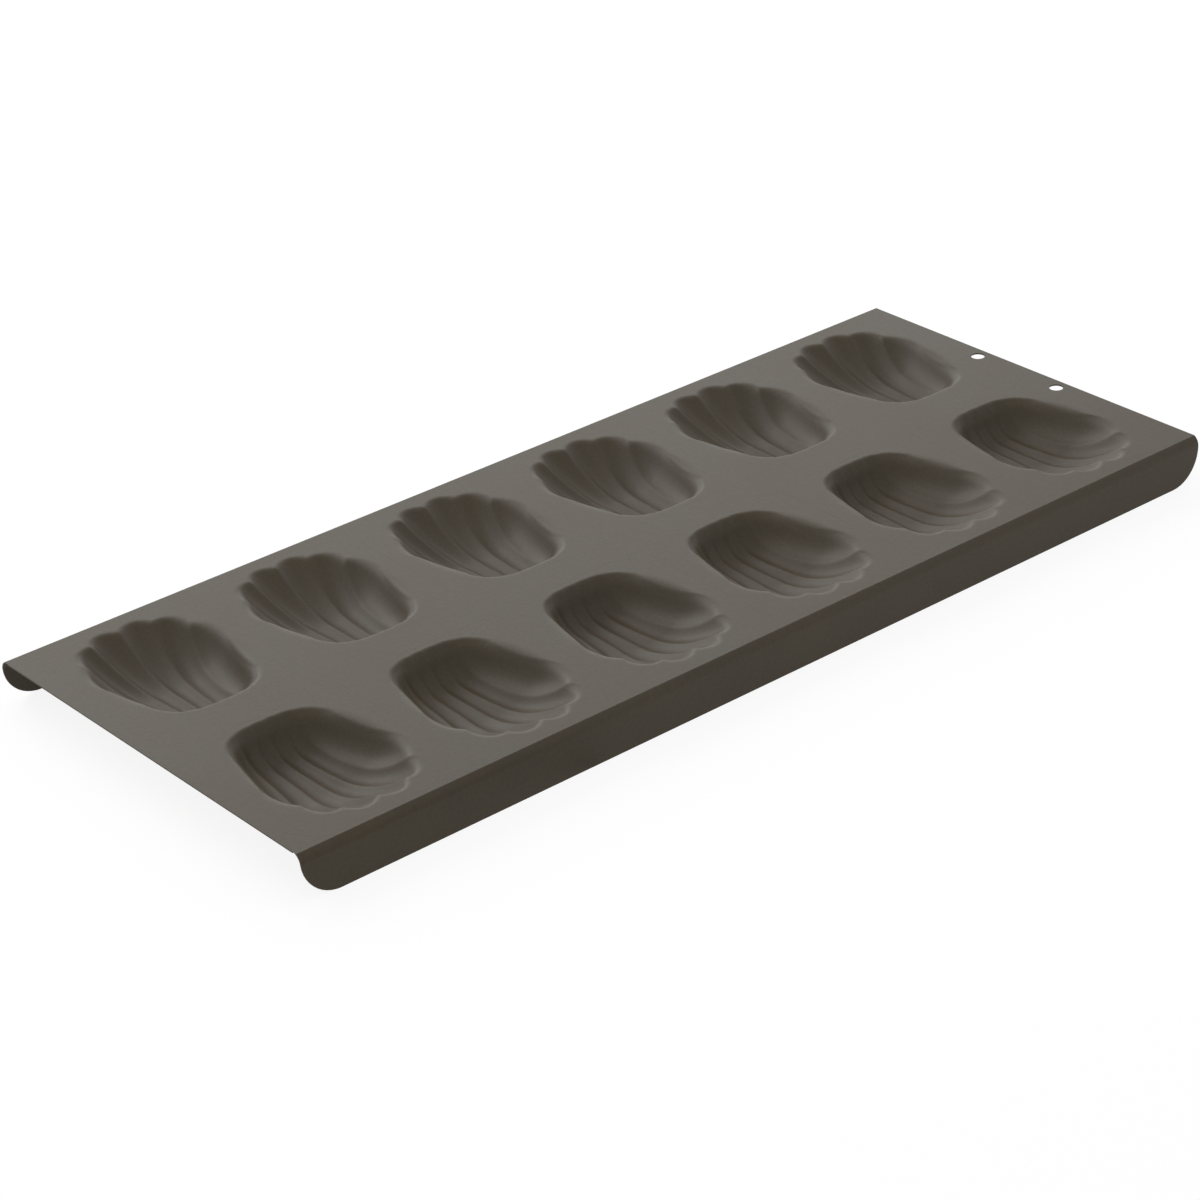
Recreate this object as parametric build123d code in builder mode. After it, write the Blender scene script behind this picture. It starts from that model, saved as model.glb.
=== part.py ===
from build123d import *
from math import exp, pi, sin, sqrt
import os

# A madeleine pan: one thin coated steel sheet with twelve shell cups drawn down in two rows of
# six, a flange folded down along each long side, and two hanging holes at one end.
# The nodes are the regions of that sheet: each drawn cup with the flat land around it, the flat
# strip between the rows, the flat strip at each end, and each folded flange. A hairline seam,
# far thinner than the sheet, keeps them apart.
# The origin is under the middle of the pan, on the plane where the flange edges rest. X runs
# along the pan toward the hanging holes, Y across it, and Z is up.

# Sheet and outline, in millimetres
pan_length = 395.0
pan_width = 165.0
pan_height = 16.2
sheet = 0.5
seam = 0.02

# Folded flanges
bend_radius = 3.5
flange_lean = 3.0
flange_corner_radius = 13.4

# Hanging holes
hole_count = 2
hole_diameter = 5.2
hole_spacing = 40.0
hole_inset = 4.8
hole_shift = 1.5

# Rows and columns of cups
cup_columns = 6
cup_pitch = 63.8
row_pitch = 84.6
middle_width = 14.0
end_width = 8.0

# One cup. Its length runs from the hinge edge, nearest the middle of the pan, to the scallops.
# It is deepest at mid-length, and widest a little nearer the scallops.
cup_length = 61.8
cup_half_width = 24.2
cup_depth = 11.6
widest_station = 6.5
rim_radius = 3.0
ridge_softness_share = 0.25
flute_depth_share = 0.15
flute_middle_share = 0.5

# The fan of ridges: how far from the middle each ridge starts at the hinge edge, the last place
# being past the side wall, and how the fan opens toward the scallops
ridge_starts = [0.0, 5.3, 11.4, 19.4]
fan_opening_share = 1.5
fan_power = 2.65

# How square the hinge end, the side walls and the scalloped end are, and how much the cup
# narrows toward the hinge
hinge_squareness = 8.2
side_squareness = 3.25
scallop_squareness = 1.86
narrowing_share = 0.48
rim_easing_share = 1.5
steepest_wall = 3.0

# Sampling of the pressed surface, closer at the steep walls
across_count = 58
across_crowding = 0.3
along_count = 46
slope_step_share = 0.1

deck_width = pan_width - 2 * bend_radius
fold_angle = 90.0 - flange_lean

# Reach of one cup's region from the cup's middle: to its neighbours in the row, to the end of
# the row, to the strip between the rows and to the flange
to_neighbour = (cup_pitch - seam) / 2
to_row_end = (pan_length - (cup_columns - 1) * cup_pitch - seam) / 2 - end_width
to_middle = (row_pitch - middle_width - seam) / 2
to_flange = (deck_width - row_pitch - seam) / 2


def fan_spread(y):
    # 1 at the hinge edge, growing ever faster toward the scallops
    station = max(y + cup_length / 2, 0.0) / cup_length
    return 1 + fan_opening_share * station**fan_power


def wall_half_width(y):
    station = max(widest_station - y, 0.0) / (widest_station + cup_length / 2)
    return cup_half_width * exp(-narrowing_share * station**2)


def ridge_count(start):
    # counts ridges outward from the middle one, so it is a whole number on each ridge
    for index in range(len(ridge_starts) - 1):
        if start < ridge_starts[index + 1]:
            break
    first, second = ridge_starts[index], ridge_starts[index + 1]
    return index + (start - first) / (second - first)


def flute(x, y):
    # 0 on a ridge and 1 along the middle of a flute, with a softened crest
    wave = sin(pi * ridge_count(abs(x) / fan_spread(y)))
    softened = sqrt(wave**2 + ridge_softness_share**2) - ridge_softness_share
    return softened / (sqrt(1 + ridge_softness_share**2) - ridge_softness_share)


def bowl_depth(x, y):
    # depth of the fluted bowl before its rim is rounded into the deck, negative outside it
    squareness = scallop_squareness if y > 0 else hinge_squareness
    along = abs(2 * y / cup_length) ** squareness
    across = (abs(x) / wall_half_width(y)) ** side_squareness
    flute_depth = flute_depth_share * ridge_starts[1] * fan_spread(y)
    return cup_depth * (1 - along - across) + flute_depth * (flute(x, y) - flute_middle_share)


def steepness(surface, x, y):
    step = slope_step_share * sheet
    slope_x = (surface(x + step, y) - surface(x - step, y)) / (2 * step)
    slope_y = (surface(x, y + step) - surface(x, y - step)) / (2 * step)
    return sqrt(1 + slope_x**2 + slope_y**2)


def cup_surface(x, y):
    # depth of the cup's inside face below the deck, with the rim radius eased in at both ends
    depth = bowl_depth(x, y)
    reach = min(steepness(bowl_depth, x, y), steepest_wall) - 1
    blend = rim_easing_share * rim_radius * reach
    if abs(depth) >= blend:
        return max(depth, 0.0)
    eased = (1 + depth / blend) / 2
    return blend * eased**3 * (2 - eased)


def under_surface(x, y):
    # depth of the cup's outside face, one sheet thickness away square to the wall
    return cup_surface(x, y) + sheet * steepness(cup_surface, x, y)


def cup_region(left, right):
    # one cup with the land around it, lofted through sections square to its length
    steps = [index / across_count for index in range(across_count + 1)]
    shares = [step - across_crowding * sin(2 * pi * step) / (2 * pi) for step in steps]
    places = [left + (right - left) * share for share in shares]
    with BuildPart() as region:
        for index in range(along_count + 1):
            y = (to_middle + to_flange) * index / along_count - to_middle
            with BuildSketch(Plane.XZ.offset(-y)):
                with BuildLine():
                    inside_points = [(x, -cup_surface(x, y)) for x in places]
                    inside = Edge.make_spline(inside_points, parameters=shares)
                    outside_points = [(x, -under_surface(x, y)) for x in places]
                    outside = Edge.make_spline(outside_points, parameters=shares)
                    add([inside, outside])
                    Line(inside @ 0, outside @ 0)
                    Line(inside @ 1, outside @ 1)
                make_face()
        loft()
    return region.part


# Twelve cups, with the hinges of both rows toward the middle of the pan. The far row's left cup
# is the near row's right cup turned half round, and the rows' other ends are its mirror image.
inner_region = cup_region(-to_neighbour, to_neighbour)
right_region = cup_region(-to_neighbour, to_row_end)
left_region = mirror(right_region, about=Plane.YZ, mode=Mode.PRIVATE)
row_regions = [left_region] + [inner_region] * (cup_columns - 2) + [right_region]
cups = []
for column in range(cup_columns):
    column_x = (column - (cup_columns - 1) / 2) * cup_pitch
    far_place = Plane((column_x, row_pitch / 2, pan_height))
    near_place = Plane((-column_x, -row_pitch / 2, pan_height), x_dir=(-1, 0, 0))
    with BuildPart(far_place) as far_cup:
        add(row_regions[column])
    far_cup.part.label = f"far_cup_{column + 1}"
    with BuildPart(near_place) as near_cup:
        add(row_regions[column])
    near_cup.part.label = f"near_cup_{cup_columns - column}"
    cups += [far_cup.part, near_cup.part]

# The flat strips between the rows and at each end, where the hanging holes are
with BuildPart() as middle_land:
    with BuildSketch(Plane.XY.offset(pan_height)):
        Rectangle(pan_length - 2 * end_width - seam, middle_width - seam)
    extrude(amount=-sheet)
middle_land.part.label = "middle_land"

with BuildPart() as plain_end:
    with BuildSketch(Plane.XY.offset(pan_height)):
        with Locations((-(pan_length - end_width) / 2, 0)):
            Rectangle(end_width, deck_width - seam)
    extrude(amount=-sheet)
plain_end.part.label = "plain_end"

with BuildPart() as hanging_end:
    with BuildSketch(Plane.XY.offset(pan_height)):
        with Locations(((pan_length - end_width) / 2, 0)):
            Rectangle(end_width, deck_width - seam)
        with Locations((pan_length / 2 - hole_inset, hole_shift)):
            with GridLocations(0, hole_spacing, 1, hole_count):
                Circle(hole_diameter / 2, mode=Mode.SUBTRACT)
    extrude(amount=-sheet)
hanging_end.part.label = "hanging_end"

# The near flange: bent down from the deck, then cut to its rounded outline, flat at the bottom
with BuildPart() as near_flange:
    with BuildSketch(Plane.YZ):
        with BuildLine():
            bend = JernArc((-deck_width / 2, pan_height), (-1, 0), bend_radius, fold_angle)
            Line(bend @ 1, bend @ 1 + pan_height * (bend % 1))
            offset(amount=sheet, side=Side.RIGHT)
        make_face()
    extrude(amount=pan_length / 2, both=True)
    with BuildSketch(Plane.XZ) as outline:
        with Locations((0, pan_height / 2)):
            Rectangle(pan_length, pan_height)
        fillet(outline.vertices().group_by(Axis.Y)[0], flange_corner_radius)
    extrude(amount=pan_width, mode=Mode.INTERSECT)
near_flange.part.label = "near_flange"

with BuildPart() as far_flange:
    add(mirror(near_flange.part, about=Plane.XZ, mode=Mode.PRIVATE))
far_flange.part.label = "far_flange"

flats = [middle_land.part, plain_end.part, hanging_end.part]
os.makedirs("parts", exist_ok=True)
for node in cups + flats + [near_flange.part, far_flange.part]:
    export_step(node, f"parts/{node.label}.step")
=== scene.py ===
import math
import bmesh
import bpy
from mathutils import Matrix, Vector


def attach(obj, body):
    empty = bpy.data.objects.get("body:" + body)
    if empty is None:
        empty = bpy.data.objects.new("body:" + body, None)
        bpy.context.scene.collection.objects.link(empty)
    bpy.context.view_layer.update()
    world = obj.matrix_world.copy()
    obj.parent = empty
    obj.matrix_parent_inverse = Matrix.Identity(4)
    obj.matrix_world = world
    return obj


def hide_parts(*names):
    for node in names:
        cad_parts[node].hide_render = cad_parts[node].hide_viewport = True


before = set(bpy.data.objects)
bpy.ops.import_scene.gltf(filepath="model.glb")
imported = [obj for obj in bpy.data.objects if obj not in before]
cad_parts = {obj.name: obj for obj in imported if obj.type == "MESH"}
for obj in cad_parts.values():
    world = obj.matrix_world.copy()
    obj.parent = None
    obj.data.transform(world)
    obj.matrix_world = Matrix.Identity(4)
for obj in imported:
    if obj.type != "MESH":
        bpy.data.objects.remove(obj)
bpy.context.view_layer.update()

scene = bpy.context.scene
print("frame loaded:", len(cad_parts), "nodes")


def addNode(tree, kind, x, y, **sockets):
    node = tree.nodes.new(kind)
    node.location = (x, y)
    for name, value in sockets.items():
        node.inputs[name].default_value = value
    return node


# the dull brown coating baked onto the sheet, with its fine grain
coating = {
    "baseColor": (0.042, 0.030, 0.014),
    "paleColor": (0.058, 0.043, 0.023),
    "roughness": 0.5,
    "roughnessSpread": 0.08,
    "grainPerMetre": 900.0,
    "grainDetail": 3.0,
    "grainRoughness": 0.6,
    "cloudsPerMetre": 24.0,
    "cloudDetail": 4.0,
    "cloudRoughness": 0.55,
    "tintFrom": 0.7,
    "tintTo": 1.3,
    "bumpDepth": 0.00005,
    "ior": 1.4,
}


def makeCoating(name, setup):
    material = bpy.data.materials.new(name)
    material.use_nodes = True
    tree = material.node_tree
    tree.nodes.clear()
    output = addNode(tree, "ShaderNodeOutputMaterial", 700, 0)
    shader = addNode(tree, "ShaderNodeBsdfPrincipled", 400, 0, IOR=setup["ior"])
    tree.links.new(shader.outputs["BSDF"], output.inputs["Surface"])
    place = addNode(tree, "ShaderNodeTexCoord", -900, 0)

    grain = addNode(
        tree, "ShaderNodeTexNoise", -600, 100,
        Scale=setup["grainPerMetre"], Detail=setup["grainDetail"], Roughness=setup["grainRoughness"],
    )
    tree.links.new(place.outputs["Object"], grain.inputs["Vector"])
    # broad, faint clouds where the coating lies thicker
    clouds = addNode(
        tree, "ShaderNodeTexNoise", -600, -150,
        Scale=setup["cloudsPerMetre"], Detail=setup["cloudDetail"], Roughness=setup["cloudRoughness"],
    )
    tree.links.new(place.outputs["Object"], clouds.inputs["Vector"])

    both = addNode(tree, "ShaderNodeMath", -350, 50)
    both.operation = "ADD"
    tree.links.new(grain.outputs["Fac"], both.inputs[0])
    tree.links.new(clouds.outputs["Fac"], both.inputs[1])
    tint = addNode(tree, "ShaderNodeMapRange", -150, 80)
    tint.inputs["From Min"].default_value = setup["tintFrom"]
    tint.inputs["From Max"].default_value = setup["tintTo"]
    tree.links.new(both.outputs[0], tint.inputs["Value"])
    colour = addNode(tree, "ShaderNodeMix", 100, 120)
    colour.data_type = "RGBA"
    # sockets 6 and 7 are the two colours of the mix
    colour.inputs[6].default_value = (*setup["baseColor"], 1)
    colour.inputs[7].default_value = (*setup["paleColor"], 1)
    tree.links.new(tint.outputs["Result"], colour.inputs["Factor"])
    tree.links.new(colour.outputs[2], shader.inputs["Base Color"])

    gloss = addNode(tree, "ShaderNodeMapRange", -150, -150)
    gloss.inputs["To Min"].default_value = setup["roughness"] - setup["roughnessSpread"] / 2
    gloss.inputs["To Max"].default_value = setup["roughness"] + setup["roughnessSpread"] / 2
    tree.links.new(clouds.outputs["Fac"], gloss.inputs["Value"])
    tree.links.new(gloss.outputs["Result"], shader.inputs["Roughness"])

    bump = addNode(tree, "ShaderNodeBump", 100, -250, Strength=1.0, Distance=setup["bumpDepth"])
    tree.links.new(grain.outputs["Fac"], bump.inputs["Height"])
    tree.links.new(bump.outputs["Normal"], shader.inputs["Normal"])
    return material


coatedSteel = makeCoating("coatedSteel", coating)
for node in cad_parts.values():
    node.data.materials.clear()
    node.data.materials.append(coatedSteel)
print("coating assigned")


# the sheet, in metres as in the frame
sheet = {
    "thickness": 0.0005,
    "top": 0.0162,
    "seam": 0.00002,
    "length": 0.395,
    "deckWidth": 0.158,
    "rowPitch": 0.0846,
    "columns": 6,
    "cupPitch": 0.0638,
    "middleWidth": 0.014,
    "endWidth": 0.008,
}

# one shell cup, y running from its hinge edge at the pan's middle to its scallops
cup = {
    "length": 0.0618,
    "halfWidth": 0.0242,
    "depth": 0.0116,
    "widestAt": 0.0065,
    "rimRadius": 0.003,
    "ridgeStarts": [0.0, 0.0053, 0.0114, 0.0194],
    "fanOpening": 1.5,
    "fanPower": 2.65,
    "ridgeSoftness": 0.1,
    "fluteDepth": 0.15,
    "fluteMiddle": 0.7,
    "hingeSquareness": 8.2,
    "sideSquareness": 3.25,
    "scallopSquareness": 1.86,
    "narrowing": 0.48,
    "rimEasing": 1.5,
    "steepestWall": 3.0,
    "meshStep": 0.0005,
    "slopeStep": 0.00005,
}


def fanSpread(y, setup):
    # 1 at the hinge edge, and more toward the scallops
    station = max(y + setup["length"] / 2, 0) / setup["length"]
    return 1 + setup["fanOpening"] * station ** setup["fanPower"]


def fluteAt(x, y, setup):
    # 0 on a ridge, 1 along the middle of a flute
    starts = setup["ridgeStarts"]
    start = abs(x) / fanSpread(y, setup)
    index = 0
    while index < len(starts) - 2 and start >= starts[index + 1]:
        index += 1
    count = index + (start - starts[index]) / (starts[index + 1] - starts[index])
    soft = setup["ridgeSoftness"]
    wave = math.sqrt(math.sin(math.pi * count) ** 2 + soft ** 2) - soft
    return wave / (math.sqrt(1 + soft ** 2) - soft)


def bowlDepth(x, y, setup):
    # the fluted bowl before its rim is rounded over, negative outside the cup
    squareness = setup["scallopSquareness"] if y > 0 else setup["hingeSquareness"]
    along = abs(2 * y / setup["length"]) ** squareness
    station = max(setup["widestAt"] - y, 0) / (setup["widestAt"] + setup["length"] / 2)
    halfWidth = setup["halfWidth"] * math.exp(-setup["narrowing"] * station ** 2)
    across = (abs(x) / halfWidth) ** setup["sideSquareness"]
    fluteDepth = setup["fluteDepth"] * setup["ridgeStarts"][1] * fanSpread(y, setup)
    flute = fluteDepth * (fluteAt(x, y, setup) - setup["fluteMiddle"])
    return setup["depth"] * (1 - along - across) + flute


def cupDepth(x, y, setup):
    # depth of the pressed face, its rim rounded over into the land
    step = setup["slopeStep"]
    depth = bowlDepth(x, y, setup)
    slopeX = (bowlDepth(x + step, y, setup) - bowlDepth(x - step, y, setup)) / (2 * step)
    slopeY = (bowlDepth(x, y + step, setup) - bowlDepth(x, y - step, setup)) / (2 * step)
    reach = min(math.sqrt(1 + slopeX ** 2 + slopeY ** 2), setup["steepestWall"]) - 1
    blend = setup["rimEasing"] * setup["rimRadius"] * reach
    if abs(depth) >= blend:
        return max(depth, 0)
    eased = (1 + depth / blend) / 2
    return blend * eased ** 3 * (2 - eased)


def makeRegion(left, right, setup, pan):
    # one cup and the land round it: a fine grid pressed down, and its underside one sheet below
    back = (pan["rowPitch"] - pan["middleWidth"] - pan["seam"]) / 2
    front = (pan["deckWidth"] - pan["rowPitch"] - pan["seam"]) / 2
    bm = bmesh.new()
    bmesh.ops.create_grid(
        bm,
        x_segments=round((right - left) / setup["meshStep"]),
        y_segments=round((front + back) / setup["meshStep"]),
        size=0.5,
    )
    for vert in bm.verts:
        x = left + (vert.co.x + 0.5) * (right - left)
        y = (vert.co.y + 0.5) * (front + back) - back
        vert.co = (x, y, -cupDepth(x, y, setup))
    bm.normal_update()
    upper = list(bm.verts)
    drops = [pan["thickness"] / vert.normal.z for vert in upper]
    copied = bmesh.ops.duplicate(bm, geom=bm.verts[:] + bm.edges[:] + bm.faces[:])
    lowerOf = copied["vert_map"]
    for vert, drop in zip(upper, drops):
        lowerOf[vert].co.z -= drop
    lowerFaces = [item for item in copied["geom"] if isinstance(item, bmesh.types.BMFace)]
    bmesh.ops.reverse_faces(bm, faces=lowerFaces)
    for face in bm.faces:
        face.smooth = True
    rims = [edge for edge in bm.edges if edge.is_boundary]
    for edge in rims:
        edge.smooth = False
    bmesh.ops.bridge_loops(bm, edges=rims)
    return bm


def makeCups(setup, pan):
    toNeighbour = (pan["cupPitch"] - pan["seam"]) / 2
    rowHalf = (pan["columns"] - 1) * pan["cupPitch"] / 2
    toRowEnd = (pan["length"] - pan["seam"]) / 2 - rowHalf - pan["endWidth"]
    inner = makeRegion(-toNeighbour, toNeighbour, setup, pan)
    right = makeRegion(-toNeighbour, toRowEnd, setup, pan)
    left = right.copy()
    bmesh.ops.scale(left, verts=left.verts, vec=(-1, 1, 1))
    bmesh.ops.reverse_faces(left, faces=left.faces)
    regions = [left] + [inner] * (pan["columns"] - 2) + [right]
    made = []
    for column, region in enumerate(regions):
        columnX = column * pan["cupPitch"] - rowHalf
        for row, turn in (("far", 0), ("near", math.pi)):
            number = column + 1 if row == "far" else pan["columns"] - column
            place = Matrix.Translation((columnX, pan["rowPitch"] / 2, pan["top"]))
            place = Matrix.Rotation(turn, 4, "Z") @ place
            bm = region.copy()
            bmesh.ops.transform(bm, matrix=place, verts=bm.verts)
            mesh = bpy.data.meshes.new(f"{row}Cup{number}")
            bm.to_mesh(mesh)
            bm.free()
            piece = bpy.data.objects.new(f"{row}Cup{number}", mesh)
            scene.collection.objects.link(piece)
            mesh.materials.append(coatedSteel)
            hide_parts(f"{row}_cup_{number}")
            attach(piece, "root")
            made.append(piece)
    return made


cups = makeCups(cup, sheet)
print("cups pressed:", len(cups), "pieces")


# white paper floor, and the lamps
studio = {
    "floorSize": 6.0,
    "floorColor": (0.80, 0.80, 0.80),
    "floorGlow": 0.8,            # share of plain white in what the camera sees of it
    "glowStrength": 1.1,
    "worldFill": 0.55,
    "lamps": [
        # name, place, size, watts
        ("leftLamp", (-0.2, 1.3, 0.9), 1.2, 10.5),
        ("backLamp", (0.95, 1.45, 0.55), 1.4, 8.0),
    ],
}


def addSeenByCamera(tree):
    # 1 for what the camera sees, straight or in a gloss, else 0
    rays = addNode(tree, "ShaderNodeLightPath", -400, 200)
    seen = addNode(tree, "ShaderNodeMath", -200, 200)
    seen.operation = "MAXIMUM"
    tree.links.new(rays.outputs["Is Camera Ray"], seen.inputs[0])
    tree.links.new(rays.outputs["Is Glossy Ray"], seen.inputs[1])
    return seen


def makeFloor(setup):
    mesh = bpy.data.meshes.new("floor")
    bm = bmesh.new()
    bmesh.ops.create_grid(bm, x_segments=1, y_segments=1, size=setup["floorSize"] / 2)
    bm.to_mesh(mesh)
    bm.free()
    floor = bpy.data.objects.new("floor", mesh)
    scene.collection.objects.link(floor)
    material = bpy.data.materials.new("floorPaper")
    material.use_nodes = True
    tree = material.node_tree
    tree.nodes.clear()
    output = addNode(tree, "ShaderNodeOutputMaterial", 600, 0)
    paper = addNode(tree, "ShaderNodeBsdfDiffuse", 0, 100, Color=(*setup["floorColor"], 1))
    glow = addNode(tree, "ShaderNodeEmission", 0, -100, Color=(1, 1, 1, 1), Strength=setup["glowStrength"])
    seen = addSeenByCamera(tree)
    share = addNode(tree, "ShaderNodeMath", 0, 300)
    share.operation = "MULTIPLY"
    share.inputs[1].default_value = setup["floorGlow"]
    tree.links.new(seen.outputs[0], share.inputs[0])
    mix = addNode(tree, "ShaderNodeMixShader", 300, 0)
    tree.links.new(share.outputs[0], mix.inputs["Fac"])
    tree.links.new(paper.outputs[0], mix.inputs[1])
    tree.links.new(glow.outputs[0], mix.inputs[2])
    tree.links.new(mix.outputs[0], output.inputs["Surface"])
    mesh.materials.append(material)


def makeWorld(setup):
    world = bpy.data.worlds.new("studio")
    scene.world = world
    world.use_nodes = True
    tree = world.node_tree
    tree.nodes.clear()
    output = addNode(tree, "ShaderNodeOutputWorld", 600, 0)
    fill = addNode(tree, "ShaderNodeBackground", 0, 100, Color=(1, 1, 1, 1), Strength=setup["worldFill"])
    white = addNode(tree, "ShaderNodeBackground", 0, -100, Color=(1, 1, 1, 1), Strength=1.0)
    seen = addSeenByCamera(tree)
    mix = addNode(tree, "ShaderNodeMixShader", 300, 0)
    tree.links.new(seen.outputs[0], mix.inputs["Fac"])
    tree.links.new(fill.outputs[0], mix.inputs[1])
    tree.links.new(white.outputs[0], mix.inputs[2])
    tree.links.new(mix.outputs[0], output.inputs["Surface"])


def placeLamp(name, place, size, watts):
    lamp = bpy.data.lights.new(name, "AREA")
    lamp.shape = "SQUARE"
    lamp.size = size
    lamp.energy = watts
    holder = bpy.data.objects.new(name, lamp)
    scene.collection.objects.link(holder)
    holder.location = place
    holder.rotation_euler = (-Vector(place)).to_track_quat("-Z", "Y").to_euler()


makeFloor(studio)
makeWorld(studio)
for name, place, size, watts in studio["lamps"]:
    placeLamp(name, place, size, watts)
print("floor and lamps placed")


# camera at the photograph's viewing angle
cameraView = {
    "target": (-0.032452, -0.024561, 0.0162),
    "azimuth": 38.87,            # the way it looks, from +Y toward +X
    "elevation": 28.34,
    "roll": -2.97,
    "distance": 1.16253,
    "lens": 105.381,
    "sensor": 36,
    "clip": (0.05, 50),
}


def placeCamera(setup):
    data = bpy.data.cameras.new("camera")
    camera = bpy.data.objects.new("camera", data)
    scene.collection.objects.link(camera)
    azimuth = math.radians(setup["azimuth"])
    elevation = math.radians(setup["elevation"])
    roll = math.radians(setup["roll"])
    forward = Vector((
        math.sin(azimuth) * math.cos(elevation),
        math.cos(azimuth) * math.cos(elevation),
        -math.sin(elevation),
    ))
    right = Vector((math.cos(azimuth), -math.sin(azimuth), 0))
    up = right.cross(forward)
    turnedRight = right * math.cos(roll) + up * math.sin(roll)
    turnedUp = up * math.cos(roll) - right * math.sin(roll)
    place = Vector(setup["target"]) - forward * setup["distance"]
    turn = Matrix((turnedRight, turnedUp, -forward)).transposed().to_4x4()
    camera.matrix_world = Matrix.Translation(place) @ turn
    data.sensor_width = setup["sensor"]
    data.lens = setup["lens"]
    data.clip_start, data.clip_end = setup["clip"]
    scene.camera = camera


placeCamera(cameraView)
scene.view_settings.view_transform = "Standard"
print("camera placed")
